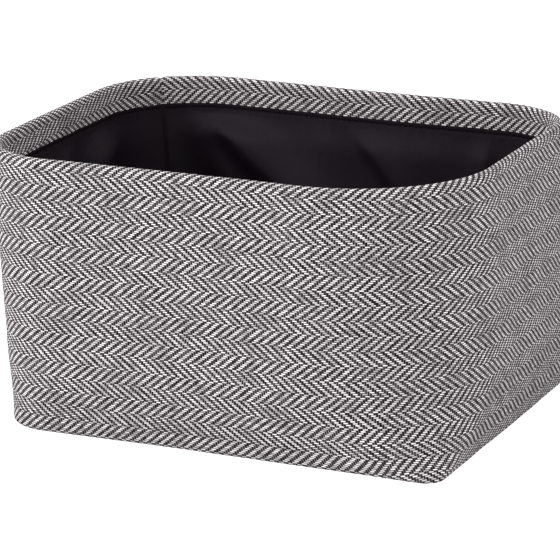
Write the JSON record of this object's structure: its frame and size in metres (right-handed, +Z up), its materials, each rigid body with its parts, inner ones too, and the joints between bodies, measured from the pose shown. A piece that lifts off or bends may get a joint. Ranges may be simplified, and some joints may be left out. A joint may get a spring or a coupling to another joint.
{
  "type": "fabric storage bin",
  "caption": "Open rectangular storage bin of padded herringbone cloth with a rolled rim, dark lining and loose base board.",
  "frame": {"origin": "middle of the base, on the surface that the bin stands on", "axes": "+Z up, +X along the long side, -Y is the front; the cloth's side seam is in the back left corner (-X, +Y)"},
  "size_m": [0.3, 0.252, 0.168],
  "materials": {
    "outer_cloth": "coarse herringbone twill of off-white yarn along the wall and near-black yarn up it",
    "padding": "pressed felt padding",
    "lining": "plain near-black lining with a faint satin sheen",
    "thread": "black sewing thread",
    "board": "grey-brown pressed board"
  },
  "bodies": {
    "bin": {"outer_wall_cloth": "outer_cloth", "outer_base_cloth": "outer_cloth", "wall_padding": "padding", "base_padding": "padding", "lining_wall": "lining", "lining_base": "lining", "side_seam_thread": "thread", "base_seam_thread": "thread", "lining_seam_thread": "thread", "lining_base_thread": "thread", "rim_topstitch": "thread"},
    "base_insert": {"insert_cover": "lining", "insert_board": "board"}
  },
  "joints": [
    {"name": "insert_lift", "type": "slide", "parent": "bin", "child": "base_insert", "axis": [0, 0, 1], "range_m": [0, 0.18]}
  ]
}
